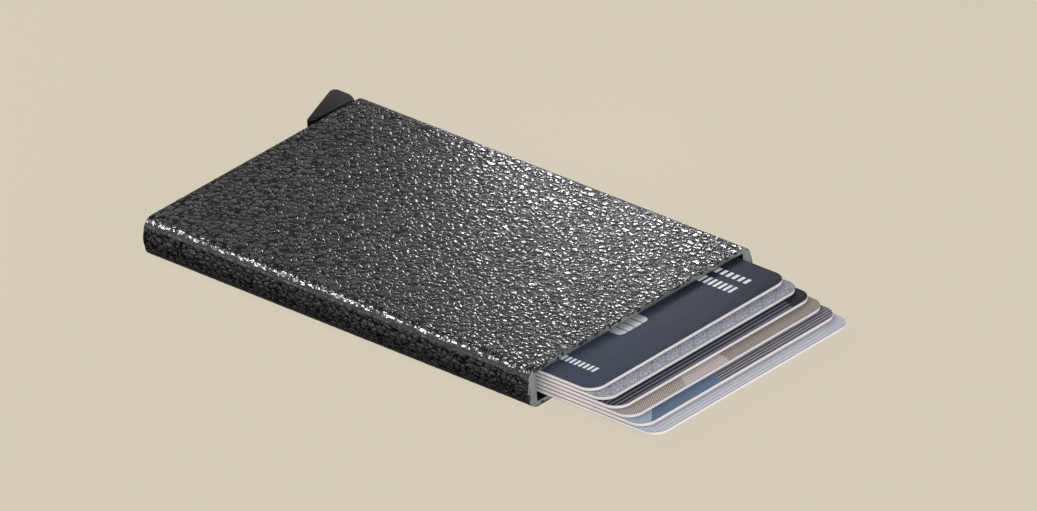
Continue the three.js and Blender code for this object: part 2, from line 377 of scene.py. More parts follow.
def pebble_height(tree, place, pebble):
    """Height of the pebbled relief: about 0 in the creases and 1 on the crowns."""
    cells = add(tree, "ShaderNodeVectorMath",
                {0: place, 1: [share / pebble for share in PEBBLE_CELLS]}, operation="MULTIPLY")
    drift = add(tree, "ShaderNodeTexNoise", {"Vector": cells, "Scale": 1.1, "Detail": 1.0})
    centred = add(tree, "ShaderNodeVectorMath", {0: drift.outputs["Color"], 1: (0.5, 0.5, 0.5)},
                  operation="SUBTRACT")
    bent = add(tree, "ShaderNodeVectorMath", {0: centred, 1: PEBBLE_BEND, 2: cells},
               operation="MULTIPLY_ADD")
    crease = add(tree, "ShaderNodeTexVoronoi", {"Vector": bent, "Scale": 1.0},
                 feature="DISTANCE_TO_EDGE")
    crown = add(tree, "ShaderNodeMapRange",
                {"Value": crease.outputs["Distance"], "From Max": CREASE_WIDTH},
                interpolation_type="SMOOTHSTEP")
    swell = add(tree, "ShaderNodeTexNoise", {"Vector": bent, "Scale": 1.4, "Detail": 1.0})
    lower = add(tree, "ShaderNodeMath", {0: swell, 1: SWELL_SHARE, 2: SWELL_SINK},
                operation="MULTIPLY_ADD")
    return add(tree, "ShaderNodeMath", {0: crown, 1: CROWN_SHARE, 2: lower},
               operation="MULTIPLY_ADD")


def skin_distances(tree, place):
    """Distances from a point to the nearer plate's surface and to the nearer side's surface."""
    parts = add(tree, "ShaderNodeSeparateXYZ", {0: place})
    up = parts.outputs[2]
    sideways = add(tree, "ShaderNodeMath", {0: parts.outputs[0]}, operation="ABSOLUTE")
    to_side = add(tree, "ShaderNodeMath", {0: CASE_HIGH[0], 1: sideways}, operation="SUBTRACT")
    to_top = add(tree, "ShaderNodeMath", {0: CASE_HIGH[2], 1: up}, operation="SUBTRACT")
    return add(tree, "ShaderNodeMath", {0: to_top, 1: up}, operation="MINIMUM"), to_side


def coat_height(tree, place, pebble):
    """The pebbled relief as it lies on the case: shallower where the coat stretches over the
    rounded long edges."""
    height = pebble_height(tree, place, pebble)
    to_plate, to_side = skin_distances(tree, place)
    inset = add(tree, "ShaderNodeMath", {0: to_plate, 1: to_side}, operation="MAXIMUM")
    share = add(tree, "ShaderNodeMapRange",
                {"Value": inset, "From Min": STRETCH_FROM, "From Max": STRETCH_TO,
                 "To Min": STRETCH_SHARE},
                interpolation_type="SMOOTHSTEP")
    below = add(tree, "ShaderNodeMath", {0: height, 1: 1.0}, operation="SUBTRACT")
    return add(tree, "ShaderNodeMath", {0: below, 1: share, 2: 1.0}, operation="MULTIPLY_ADD")


def relief_modifier_tree(pebble, depth):
    """Geometry nodes that sink the creases and first store each point's place for the coat."""
    tree = bpy.data.node_groups.new("pebbled relief", "GeometryNodeTree")
    for direction in ("INPUT", "OUTPUT"):
        tree.interface.new_socket("Geometry", in_out=direction, socket_type="NodeSocketGeometry")
    start = add(tree, "NodeGroupInput")
    place = add(tree, "GeometryNodeInputPosition")
    height = coat_height(tree, place, pebble)
    sunk = add(tree, "ShaderNodeMath", {0: height, 1: depth, 2: -depth}, operation="MULTIPLY_ADD")
    shift = add(tree, "ShaderNodeVectorMath",
                {0: add(tree, "GeometryNodeInputNormal"), "Scale": sunk}, operation="SCALE")
    kept = add(tree, "GeometryNodeStoreNamedAttribute",
               {"Geometry": start, "Name": UNPRESSED, "Value": place},
               data_type="FLOAT_VECTOR", domain="POINT")
    moved = add(tree, "GeometryNodeSetPosition", {"Geometry": kept, "Offset": shift})
    add(tree, "NodeGroupOutput", {0: moved})
    return tree


def textured_coat(settings):
    """Baked-on black polyurethane coat, rolled to a leather grain: glossy crowns, dull creases."""
    material, tree, shader = new_finish("baked black coat, leather grain", IOR=1.58)
    place = add(tree, "ShaderNodeAttribute", attribute_name=UNPRESSED).outputs["Vector"]
    height = coat_height(tree, place, settings.pebble)
    # Finer than the mesh: shallow 0.5 mm wrinkles on each pebble.
    wrinkles = add(tree, "ShaderNodeTexNoise",
                {"Vector": place, "Scale": 1 / (0.5 * MM), "Detail": 2.0})
    # Painted shade: the creases are painted near black, for the shade that falls in them.
    depth = add(tree, "ShaderNodeMapRange", {"Value": height, "From Min": 0.22, "From Max": 0.55})
    rough = add(tree, "ShaderNodeMapRange",
                {"Value": height, "From Min": 0.25, "From Max": 0.6,
                 "To Min": 0.5, "To Max": 0.16})
    shine = add(tree, "ShaderNodeMapRange",
                {"Value": height, "From Min": 0.2, "From Max": 0.5,
                 "To Min": 0.1, "To Max": 0.5})
    coarse = add(tree, "ShaderNodeBump",
                 {"Height": height, "Strength": 1.0, "Distance": 0.4 * settings.relief})
    bump = add(tree, "ShaderNodeBump",
               {"Height": wrinkles, "Strength": 0.1, "Distance": 0.03 * MM, "Normal": coarse})
    # Painted shade: the crease mask lays near black under the coat colour.
    join_up(tree, shader, Base_Color=layered(tree, "#020202", (depth, settings.coat_colour)),
            Roughness=rough, Specular_IOR_Level=shine, Normal=bump)
    return material


def sawn_aluminium(settings):
    """Aluminium sawn and milled at the tube's ends: grey and a little dulled, with fine straight
    cutter marks and ragged patches of coat that crept over the outer edge."""
    material, tree, shader = new_finish("milled aluminium, bare")
    marks = grain(tree, (16.67, 1.0, 0.3846), detail=3.0)
    metal = varied(tree, marks, "#8C9694", "#C6CCCA", 0.34, 0.5)
    place = add(tree, "ShaderNodeTexCoord").outputs["Object"]
    depth = add(tree, "ShaderNodeMath", dict(enumerate(skin_distances(tree, place))),
                operation="MINIMUM")
    # The coat's ragged reach over the cut face, from almost none to about 1 mm.
    reach = add(tree, "ShaderNodeMapRange",
                {"Value": grain(tree, 1.3, 3.0), "From Min": 0.44, "From Max": 0.64,
                 "To Min": 0.05 * MM, "To Max": 0.95 * MM})
    bare = add(tree, "ShaderNodeMath", {0: depth, 1: reach}, operation="GREATER_THAN")
    colour = layered(tree, settings.coat_colour, (bare, metal["Base_Color"]))
    # The oxide on the cut metal scatters a part of the light.
    metallic = add(tree, "ShaderNodeMath", {0: bare, 1: 0.85}, operation="MULTIPLY")
    bump = add(tree, "ShaderNodeBump",
               {"Height": marks, "Strength": 0.25, "Distance": 0.02 * MM})
    join_up(tree, shader, Base_Color=colour, Metallic=metallic, Roughness=metal["Roughness"],
            Normal=bump)
    return material


def anodised_bay():
    """Black anodised aluminium inside the tube: dull, dark, with faint drawing lines along it."""
    material, tree, shader = new_finish("anodised aluminium, black", Metallic=0.6)
    lines = grain(tree, (0.4167, 25, 0.4167))
    join_up(tree, shader, **varied(tree, lines, "#0B0B0C", "#1B1B1D", 0.42, 0.6))
    return material


def moulded_abs(name, colour, low, high):
    """Black ABS from a fine spark-eroded mould: an even, low gloss and a barely visible grain."""
    material, tree, shader = new_finish(name, Specular_IOR_Level=0.3)
    cloud = grain(tree, 4)
    dark = [0.8 * channel for channel in colour]
    bump = add(tree, "ShaderNodeBump",
               {"Height": grain(tree, 0.22), "Strength": 0.2, "Distance": 0.02 * MM})
    join_up(tree, shader, **varied(tree, cloud, dark, colour, low, high), Normal=bump)
    return material


def turned_steel():
    """Stainless steel pin, turned: bright rings round its axis."""
    material, tree, shader = new_finish("stainless steel, turned", Metallic=1.0)
    rings = grain(tree, (5, 5, 0.1111))
    join_up(tree, shader, **varied(tree, rings, "#8E8F91", "#C4C4C2", 0.2, 0.4))
    return material


def skived_foam():
    """Polyurethane foam strip, skived: dull dark grey with 0.2 mm open cells."""
    material, tree, shader = new_finish("polyurethane foam, skived", Specular_IOR_Level=0.2)
    place = add(tree, "ShaderNodeTexCoord").outputs["Object"]
    cells = add(tree, "ShaderNodeTexVoronoi", {"Vector": place, "Scale": 1 / (0.2 * MM)})
    cells = cells.outputs["Distance"]
    bump = add(tree, "ShaderNodeBump",
               {"Height": cells, "Strength": 0.6, "Distance": 0.08 * MM})
    join_up(tree, shader, **varied(tree, cells, "#17171A", "#3A3A3E", 0.8, 0.95), Normal=bump)
    return material


def needled_felt():
    """Polyester felt, needled: soft black fibres in every direction with a faint sheen."""
    material, tree, shader = new_finish(
        "polyester felt, needled", Specular_IOR_Level=0.2, Sheen_Weight=0.4, Sheen_Roughness=0.6)
    fibres = grain(tree, 0.3, 5.0, Roughness=0.75, Distortion=1.5)
    bump = add(tree, "ShaderNodeBump",
               {"Height": fibres, "Strength": 0.8, "Distance": 0.1 * MM})
    join_up(tree, shader, **varied(tree, fibres, "#0E0E10", "#34343A", 0.85, 1.0), Normal=bump)
    return material


def plated_contacts():
    """Palladium-nickel plated contacts, brushed: pale silver with lines along the card."""
    material, tree, shader = new_finish("palladium nickel, plated", Metallic=0.6)
    brush = grain(tree, (0.1429, 5, 0.1429))
    join_up(tree, shader, **varied(tree, brush, "#A9ABAE", "#C6C8CA", 0.5, 0.62))
    return material


def contact_insulation():
    """Glass-epoxy laminate between the contacts, etched bare: dark, dull grey, finely woven."""
    material, tree, shader = new_finish("glass epoxy laminate, etched", Specular_IOR_Level=0.3)
    weave = grain(tree, 0.1, 1.0)
    join_up(tree, shader, **varied(tree, weave, "#26282B", "#3C3F43", 0.6, 0.8))
    return material


# Each card's face is offset- or screen-printed PVC under a clear laminate. Patterns are laid out in
# millimetres: across is the distance from the card's centre line, inward from its leading end.


def repeated_lines(tree, distance, period, width, shift=0.0, soft=0.05):
    """1 on lines of this width that repeat every period along distance, 0 between them."""
    moved = add(tree, "ShaderNodeMath", {0: distance, 1: shift}, operation="SUBTRACT")
    off = add(tree, "ShaderNodeMath", {0: moved, 1: period / 2}, operation="PINGPONG")
    return add(tree, "ShaderNodeMapRange",
               {"Value": off, "From Min": width / 2 - soft, "From Max": width / 2 + soft,
                "To Min": 1.0, "To Max": 0.0})


def band(tree, distance, low, high, soft=0.06):
    """1 from low to high along distance: a line whose period is longer than any card."""
    return repeated_lines(tree, distance, 200, high - low, shift=(low + high) / 2, soft=soft)


def beyond(tree, distance, edge, soft=0.06):
    """0 below the edge and 1 above it."""
    return add(tree, "ShaderNodeMapRange",
               {"Value": distance, "From Min": edge - soft, "From Max": edge + soft})


def leaning(tree, across, inward, slope):
    """Distance across that leans with the distance inward, for slanted borders."""
    return add(tree, "ShaderNodeMath", {0: inward, 1: slope, 2: across}, operation="MULTIPLY_ADD")


def merged(tree, operation, *masks):
    """Folds masks into one: MULTIPLY keeps what all of them cover, MAXIMUM what any covers."""
    total = masks[0]
    for mask in masks[1:]:
        total = add(tree, "ShaderNodeMath", {0: total, 1: mask}, operation=operation)
    return total


def pinstripe_print(tree, across, inward):
    """Navy card: fine pinstripes along it, darker to one side, with rows of plain blocks."""
    stripes = repeated_lines(tree, across, 0.6875, 0.32, soft=0.09)
    cross = repeated_lines(tree, inward, 0.5, 0.2, soft=0.1)
    weave = add(tree, "ShaderNodeMath", {0: cross, 1: 0.18, 2: stripes}, operation="MULTIPLY_ADD")
    near = layered(tree, "#272E3D", (weave, "#434D5E"))
    far = layered(tree, "#131926", (weave, "#1C2331"))
    rows = [merged(tree, "MULTIPLY", band(tree, across, low, high),
                   band(tree, inward, ROW_START, end),
                   repeated_lines(tree, inward, step, block, shift=FIRST_BLOCK))
            for low, high, end, step, block in BLOCK_ROWS]
    return layered(tree, near, (beyond(tree, across, 2, soft=26), far),
                   (merged(tree, "MAXIMUM", *rows), "#D9DDE2"))


def ring_print(tree, across, inward):
    """Silver card: staggered rings joined by slanted double lines, in a darker silver."""
    period, radius, start = 3.79, 0.66, 0.85
    rings, outside = [], []
    for half in (0.0, period / 2):
        sides = []
        for distance, shift in ((across, half), (inward, start + half)):
            moved = add(tree, "ShaderNodeMath", {0: distance, 1: shift}, operation="SUBTRACT")
            sides.append(add(tree, "ShaderNodeMath", {0: moved, 1: period / 2},
                             operation="PINGPONG"))
        corner = add(tree, "ShaderNodeCombineXYZ", {0: sides[0], 1: sides[1]})
        reach = add(tree, "ShaderNodeVectorMath", {0: corner}, operation="LENGTH")
        reach = reach.outputs["Value"]
        rings.append(band(tree, reach, radius - 0.11, radius + 0.11, soft=0.08))
        outside.append(beyond(tree, reach, radius + 0.16))
    bars = [repeated_lines(tree, leaning(tree, inward, across, slope), period, 0.24,
                           shift=start + period / 2 + offset, soft=0.08)
            for slope in (1, -1) for offset in (-0.26, 0.26)]
    joining = merged(tree, "MULTIPLY", merged(tree, "MAXIMUM", *bars), *outside)
    ground = layered(tree, "#A8ABB3", (beyond(tree, across, 0, soft=27), "#9A9DA5"))
    return layered(tree, ground, (merged(tree, "MAXIMUM", *rings, joining), "#70747C"))


def midnight_print(tree, across, inward):
    """Near-black blue card: fine light lines that stop short at a slanted solid corner."""
    lines = repeated_lines(tree, inward, 0.98, 0.36, shift=0.4, soft=0.12)
    solid = beyond(tree, leaning(tree, across, inward, -0.4), 20.9)
    return layered(tree, "#1A1E27", (lines, "#686B77"), (solid, "#14181F"))


def taupe_print(tree, across, inward):
    """Taupe card in three woven-looking zones with slanted borders."""
    slanted = leaning(tree, across, inward, -0.67)
    ribs = repeated_lines(tree, slanted, 0.5, 0.24, soft=0.06)
    near = layered(tree, "#7C736E", (ribs, "#B4ABA6"))
    checks = merged(tree, "MAXIMUM", repeated_lines(tree, across, 0.7, 0.25, soft=0.1),
                    repeated_lines(tree, inward, 0.62, 0.22, soft=0.1))
    centre = layered(tree, "#CDC1BE", (checks, "#9D918F"))
    rows = repeated_lines(tree, inward, 0.55, 0.24, soft=0.1)
    far = layered(tree, "#776D65", (rows, "#A9A099"))
    return layered(tree, near, (beyond(tree, slanted, -11.85), centre),
                   (beyond(tree, leaning(tree, across, inward, -0.22), 0.06), far))


def blue_print(tree, across, inward):
    """Blue card: a pale corner, a steel-blue field, and brown and grey stripes beyond it."""
    brown = repeated_lines(tree, inward, 0.78, 0.36, shift=0.3, soft=0.08)
    pale = repeated_lines(tree, inward, 0.78, 0.28, shift=0.69, soft=0.08)
    striped = layered(tree, "#6A6568", (brown, "#553B3A"), (pale, "#8593A0"))
    slanted, border = leaning(tree, across, inward, -1.15), -25.0
    seam = band(tree, slanted, border - 0.09, border + 0.09, soft=0.05)
    field = layered(tree, "#93A4B5", (beyond(tree, slanted, border), "#5A6D83"),
                    (seam, "#A9B7C4"))
    return layered(tree, field, (beyond(tree, leaning(tree, across, inward, -0.25), -5.4), striped))


def pearl_print(tree, across, inward):
    """Pearl silver card: soft broad stripes across it, plain beyond a slanted border."""
    stripes = repeated_lines(tree, inward, 0.9, 0.42, shift=0.45, soft=0.14)
    plain = beyond(tree, leaning(tree, across, inward, -0.4), 20.6)
    return layered(tree, "#A9ACB3", (stripes, "#C6C9D0"), (plain, "#B4B7BE"))


PRINTS = (
    ("card_navy", pinstripe_print), ("card_silver", ring_print), ("card_midnight", midnight_print),
    ("card_taupe", taupe_print), ("card_blue", blue_print), ("card_pearl", pearl_print),
)


def laminated_print(slot, pattern, front):
    """Printed PVC under clear laminate: flat inks with a satin gloss and a faint ripple."""
    material, tree, shader = new_finish("printed PVC laminate, " + slot.replace("_", " "),
                                        Specular_IOR_Level=0.1)
    place = add(tree, "ShaderNodeTexCoord").outputs["Object"]
    parts = add(tree, "ShaderNodeSeparateXYZ", {0: place})
    across = add(tree, "ShaderNodeMath", {0: parts.outputs[0], 1: 1 / MM}, operation="MULTIPLY")
    inward = add(tree, "ShaderNodeMath", {0: parts.outputs[1], 1: 1 / MM, 2: -front / MM},
                 operation="MULTIPLY_ADD")
    ripple = grain(tree, 2.5, 3.0)
    rough = add(tree, "ShaderNodeMapRange", {"Value": ripple, "To Min": 0.55, "To Max": 0.65})
    bump = add(tree, "ShaderNodeBump",
               {"Height": ripple, "Strength": 0.1, "Distance": 0.02 * MM})
    join_up(tree, shader, Base_Color=pattern(tree, across, inward), Roughness=rough, Normal=bump)
    return material


def punched_pvc(core_colour):
    """White PVC card core, punched: a faintly pink off-white with fine layer lines along the cut
    and, at each face, a thin darker line of painted shade from the gap between cards."""
    material, tree, shader = new_finish("white PVC, punched edge", Specular_IOR_Level=0.4)
    layers = grain(tree, (8.333, 8.333, 0.1429))
    shade = [0.8 * channel for channel in core_colour]
    surface = varied(tree, layers, shade, core_colour, 0.35, 0.55)
    place = add(tree, "ShaderNodeTexCoord").outputs["Object"]
    parts = add(tree, "ShaderNodeSeparateXYZ", {0: place})
    height = add(tree, "ShaderNodeMath", {0: parts.outputs[2], 1: 1 / MM}, operation="MULTIPLY")
    # Painted shade: a thin dark line at each card face, for the shade in the gap between cards.
    gap_shade_lines = repeated_lines(tree, height, CARD_PITCH / MM, 0.24, shift=CARD_GAP / MM, soft=0.04)
    surface["Base_Color"] = layered(tree, surface["Base_Color"], (gap_shade_lines, "#7C7377"))
    join_up(tree, shader, **surface)
    return material


# ----- case


def tube_wall(name, settings, inset, set_back):
    """The tube's outside as an open skin: a block without ends, edges rounded and sides bowed."""
    inset_by = Vector((inset, set_back, inset))
    bow = settings.side_bow
    low = Vector(CASE_LOW) + inset_by + Vector((bow, 0, 0))
    high = Vector(CASE_HIGH) - inset_by - Vector((bow, 0, 0))
    radius = settings.edge_radius - inset
    piece = add_block(name, low, high)
    open_mesh(piece)
    pick(piece, "FACE", lambda face: looks_along(face, 1))
    bpy.ops.mesh.delete(type="ONLY_FACE")
    pick(piece, "EDGE", lambda edge: runs_along(edge, 1))
    bpy.ops.mesh.bevel(offset=radius, segments=ROUND_SEGMENTS, affect="EDGES")
    past_rounding = radius + 0.01 * MM
    flat = (low.z + past_rounding, high.z - past_rounding)
    pick(piece, "EDGE", lambda edge: runs_along(edge, 2) and flat[0] < middle(edge).z < flat[1])
    bpy.ops.mesh.subdivide_edgering(number_cuts=SIDE_CUTS, interpolation="LINEAR")
    centre = (low.z + high.z) / 2
    half = centre - low.z - radius
    rows = sorted({round(v.co.z, 7) for v in bmesh.from_edit_mesh(piece.data).verts
                   if flat[0] < v.co.z < flat[1]})
    for row in rows:
        pick(piece, "VERT", lambda vert: abs(vert.co.z - row) < 1e-6)
        swell = bow * (1 - ((row - centre) / half) ** 2)
        bpy.ops.transform.resize(value=(1 + swell / high.x, 1, 1), center_override=(0, 0, 0))
    return piece


def add_ribs(piece, axis, length, step):
    """Cuts the long edges that run along an axis into equal steps."""
    pick(piece, "EDGE", lambda edge: runs_along(edge, axis) and edge.calc_length() > length / 2)
    cuts = max(1, round(length / step) - 1)
    bpy.ops.mesh.subdivide_edgering(number_cuts=cuts, interpolation="LINEAR")


def build_coat(settings):
    """The textured coat as two shells that meet along the lower edge of each side."""
    coat = tube_wall("case_coat_upper", settings, 0.0, COAT_SET_BACK)
    across = 2 * (CASE_HIGH[0] - settings.side_bow - settings.edge_radius)
    add_ribs(coat, 0, across, settings.mesh_step)
    add_ribs(coat, 1, CASE_HIGH[1] - CASE_LOW[1], settings.mesh_step)
    close_mesh()
    hold(coat)
    bpy.ops.object.shade_smooth()
    tree = relief_modifier_tree(settings.pebble, settings.relief)
    finish_with(coat, "NODES", node_group=tree)
    bpy.data.node_groups.remove(tree)
    open_mesh(coat)
    pick(coat, "FACE", lambda face: face.calc_center_median().z < COAT_SEAM)
    bpy.ops.mesh.separate(type="SELECTED")
    close_mesh()
    lower = next(o for o in bpy.context.selected_objects if o is not coat)
    lower.name = lower.data.name = "case_coat_lower"
    material = textured_coat(settings)
    for shell, crown in ((coat, CASE_HIGH[2]), (lower, 0.0)):
        close_shell(shell, settings.coat_thickness, crown)
        shell.data.materials.append(material)
        set_in_place(shell, "case", "coated_case", "case_tube")


def close_shell(shell, thickness, crown):
    """Gives half of the coat its thickness: rims turned in at both ends, a plain inner skin, and
    flat strips along the seam."""
    ends = (CASE_LOW[1], CASE_HIGH[1])
    inward = (1 - thickness / CASE_HIGH[0], 1, 1 - thickness / abs(crown - COAT_SEAM))

    def at_end(vert, end):
        return abs(vert.co.y - end) < END_REACH

    open_mesh(shell)
    for end in ends:
        pick(shell, "EDGE", lambda edge: edge.is_boundary and all(
            at_end(vert, end) for vert in edge.verts))
        bpy.ops.mesh.extrude_edges_move()
        bpy.ops.transform.resize(value=inward, center_override=(0, 0, COAT_SEAM))
    pick(shell, "EDGE", lambda edge: edge.is_boundary and not runs_along(edge, 1)
         and any(at_end(edge.verts[0], end) for end in ends)
         and all(len(vert.link_faces) <= 2 for vert in edge.verts))
    bpy.ops.mesh.bridge_edge_loops()
    bpy.ops.mesh.select_all(action="SELECT")
    bpy.ops.mesh.fill_holes(sides=0)
    bpy.ops.mesh.normals_make_consistent(inside=False)
    pick(shell, "FACE", lambda face: face.calc_area() > PLAIN_FACE or abs(face.normal.y) > 0.7)
    bpy.ops.mesh.faces_shade_flat()
    close_mesh()


class CARDWALLET_OT_case_coat(bpy.types.Operator):
    """Make the textured outer coat of the case"""
    bl_idname = "card_wallet.case_coat"
    bl_label = "Case coat"

    def execute(self, context):
        build_coat(context.scene.card_wallet_case)
        return {"FINISHED"}


class CARDWALLET_OT_case_core(bpy.types.Operator):
    """Make the bare aluminium tube under the coat"""
    bl_idname = "card_wallet.case_core"
    bl_label = "Case core"

    def execute(self, context):
        settings = context.scene.card_wallet_case
        # The last bit of each end flares out under the thin edge of the coat.
        flare, under = 0.3 * MM, 0.08 * MM
        core = tube_wall("case_core", settings, settings.coat_thickness, flare)
        centre = (CASE_LOW[2] + CASE_HIGH[2]) / 2
        wider = (CASE_HIGH[0] - under) / (CASE_HIGH[0] - settings.coat_thickness)
        taller = (CASE_HIGH[2] / 2 - under) / (CASE_HIGH[2] / 2 - settings.coat_thickness)
        for end in (-1, 1):
            pick(core, "EDGE", lambda edge: edge.is_boundary and middle(edge).y * end > 0)
            bpy.ops.mesh.extrude_edges_move()
            bpy.ops.transform.translate(value=(0, end * flare, 0))
            bpy.ops.transform.resize(value=(wider, 1, taller), center_override=(0, 0, centre))
        bpy.ops.mesh.select_all(action="SELECT")
        bpy.ops.mesh.fill_holes(sides=0)
        bpy.ops.mesh.normals_make_consistent(inside=False)
        close_mesh()
        low, high = Vector(CASE_LOW), Vector(CASE_HIGH)
        past_ends = 5 * MM
        wall = Vector((settings.side_wall, -past_ends, settings.plate_wall))
        bay = add_block("bay", low + wall, high - wall)
        open_mesh(bay)
        pick(bay, "EDGE", lambda edge: runs_along(edge, 1))
        bpy.ops.mesh.bevel(offset=0.3 * MM, segments=3, affect="EDGES")
        close_mesh()
        carve(core, bay)
        finish_with(core, "BEVEL", width=0.1 * MM, segments=2, limit_method="ANGLE",
                    angle_limit=math.radians(50))
        smooth(core, 30)
        core.data.materials.append(anodised_bay())
        core.data.materials.append(sawn_aluminium(settings))
        for face in core.data.polygons:
            face.material_index = 1 if abs(face.normal.y) > 0.3 else 0
        set_in_place(core, "case", "coated_case", "case_tube")
        return {"FINISHED"}


# ----- cap, lever and pin


class CARDWALLET_OT_end_cap(bpy.types.Operator):
    """Make the moulded cap that closes the case beside the lever"""
    bl_idname = "card_wallet.end_cap"
    bl_label = "End cap"

    def execute(self, context):
        settings = context.scene.card_wallet_lever
        cap = eased_copy("end_cap", "end_cap_moulding", settings.edge_rounding)
        finish = moulded_abs("ABS moulding, matt", settings.colour, low=0.5, high=0.62)
        cap.data.materials.append(finish)
        set_in_place(cap, "case", "black_moulding", "end_cap")
        return {"FINISHED"}


class CARDWALLET_OT_lever(bpy.types.Operator):
    """Make the eject lever with its stepped fingers, and finish the pin it turns on"""
    bl_idname = "card_wallet.lever"
    bl_label = "Eject lever"

    def execute(self, context):
        settings = context.scene.card_wallet_lever
        finish = moulded_abs("ABS moulding, satin", settings.colour, low=0.3, high=0.42)
        lever = eased_copy("eject_lever", "lever_moulding", settings.edge_rounding)
        lever.data.materials.append(finish)
        set_in_place(lever, "lever", "black_moulding", "eject_lever")
        for level in range(1, len(PRINTS) + 1):
            node = f"lever_finger_{level}"
            finger = eased_copy(node, f"lever_step_{level}", width=0.08 * MM, segments=2)
            finger.data.materials.append(finish)
            set_in_place(finger, "lever", "black_moulding", node)
        pin = eased_copy("pivot_pin", "pin_turned", width=0.12 * MM)
        pin.data.materials.append(turned_steel())
        set_in_place(pin, "case", "steel_pin", "pivot_pin")
        return {"FINISHED"}


class CARDWALLET_OT_grips(bpy.types.Operator):
    """Finish the foam strips and their felt faces that hold the cards"""
    bl_idname = "card_wallet.grips"
    bl_label = "Grip strips"

    def execute(self, context):
        layers = (("backing", skived_foam(), "grip_foam", 0.1 * MM),
                  ("felt", needled_felt(), "grip_felt", 0.15 * MM))
        for side in ("near", "far"):
            for part, finish, slot, ease in layers:
                node = f"{side}_grip_{part}"
                strip = eased_copy(node, f"{side}_strip_{part}", ease)
                strip.data.materials.append(finish)
                set_in_place(strip, "case", slot, node)
        return {"FINISHED"}


# ----- cards


def card_blank(settings):
    """One card at the place of the top card: outline corners rounded, then both rims softened."""
    low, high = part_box("card_1")
    card = add_block("card_blank", low, high)
    open_mesh(card)
    pick(card, "EDGE", lambda edge: runs_along(edge, 2))
    bpy.ops.mesh.bevel(offset=settings.corner_radius, segments=14, affect="EDGES")
    pick(card, "FACE", lambda face: looks_along(face, 2))
    bpy.ops.mesh.region_to_loop()
    bpy.ops.mesh.bevel(offset=settings.edge_rounding, segments=3, affect="EDGES")
    close_mesh()
    smooth(card, 18)
    return card


class CARDWALLET_OT_cards(bpy.types.Operator):
    """Make the six cards from one blank and print each face"""
    bl_idname = "card_wallet.cards"
    bl_label = "Cards"

    def execute(self, context):
        settings = context.scene.card_wallet_cards
        blank = card_blank(settings)
        edge = punched_pvc(settings.core_colour)
        first = Vector(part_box("card_1")[0])
        for level, (slot, pattern) in enumerate(PRINTS, start=1):
            node = f"card_{level}"
            card = copy_of(blank, f"{node}_printed")
            low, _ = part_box(node)
            hold(card)
            bpy.ops.transform.translate(value=Vector(low) - first)
            bpy.ops.object.transform_apply()
            if level == 1:
                carve_pocket(card)
            card.data.materials.append(edge)
            card.data.materials.append(laminated_print(slot, pattern, low[1]))
            for face in card.data.polygons:
                face.material_index = 1 if looks_along(face, 2) else 0
            set_in_place(card, f"{node}_body", slot, node)
        bpy.data.objects.remove(blank)
        return {"FINISHED"}


def chip_block(name, margin):
    """A block of the chip's outline, grown by a margin, with rounded corners."""
    low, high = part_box("card_1_chip")
    grow = Vector((margin, margin, 0))
    block = add_block(name, Vector(low) - grow, Vector(high) + grow)
    open_mesh(block)
    pick(block, "EDGE", lambda edge: runs_along(edge, 2))
    bpy.ops.mesh.bevel(offset=CHIP_CORNER, segments=8, affect="EDGES")
    close_mesh()
    return block


def carve_pocket(card):
    """Cuts the pocket that the chip sits in."""
    pocket = chip_block("pocket", CHIP_CLEARANCE)
    hold(pocket)
    above_face = 0.02 * MM
    bpy.ops.transform.translate(value=(0, 0, above_face))
    bpy.ops.object.transform_apply()
    carve(card, pocket)


class CARDWALLET_OT_chip(bpy.types.Operator):
    """Make the chip's contact plate with its cut grooves"""
    bl_idname = "card_wallet.chip"
    bl_label = "Chip"

    def execute(self, context):
        low, high = [Vector(corner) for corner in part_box("card_1_chip")]
        chip = chip_block("chip_contacts", 0.0)
        width, length, centre = high.x - low.x, high.y - low.y, (low + high) / 2
        columns = [centre.x + quarter * width / 4 for quarter in (-1, 0, 1)]
        rows = [centre.y + third * length / 3 for third in (-0.5, 0.5)]
        open_mesh(chip)
        for axis, places in ((0, columns), (1, rows)):
            normal = Vector((axis == 0, axis == 1, 0))
            for place in places:
                for side in (-1, 1):
                    bpy.ops.mesh.select_all(action="SELECT")
                    bpy.ops.mesh.bisect(
                        plane_co=normal * (place + side * GROOVE_WIDTH / 2), plane_no=normal)

        def in_groove(face):
            spot = face.calc_center_median()
            down = any(abs(spot.x - column) < GROOVE_WIDTH / 2 for column in columns)
            over = any(abs(spot.y - row) < GROOVE_WIDTH / 2 for row in rows)
            outer = abs(spot.x - centre.x) > width / 4
            return face.normal.z > LOOKING and (down or (over and outer))

        pick(chip, "FACE", in_groove)
        bpy.ops.mesh.extrude_region_move()
        bpy.ops.transform.translate(value=(0, 0, -GROOVE_DEPTH))
        close_mesh()
        smooth(chip, 30)
        chip.data.materials.append(plated_contacts())
        chip.data.materials.append(contact_insulation())
        for face in chip.data.polygons:
            face.material_index = 1 if face.center.z < high.z - GROOVE_DEPTH / 2 else 0
        set_in_place(chip, "card_1_body", "chip_plate", "card_1_chip")
        return {"FINISHED"}


# ----- stage


def add_softbox(name, place, target, width, length, brightness, along, spread):
    """A rectangular softbox whose face has this brightness, whatever its size. Its length lies as
    near to the direction named as facing the target allows."""
    light = bpy.data.lights.new(name, "AREA")
    light.shape = "RECTANGLE"
    light.size, light.size_y = width, length
    light.energy = brightness * math.pi * width * length
    light.spread = math.radians(spread)
    lamp = bpy.data.objects.new(name, light)
    bpy.context.scene.collection.objects.link(lamp)
    back = (Vector(place) - Vector(target)).normalized()
    side = Vector(along).cross(back).normalized()
    turn = Matrix((side, back.cross(side), back)).transposed()
    lamp.matrix_world = Matrix.Translation(place) @ turn.to_4x4()


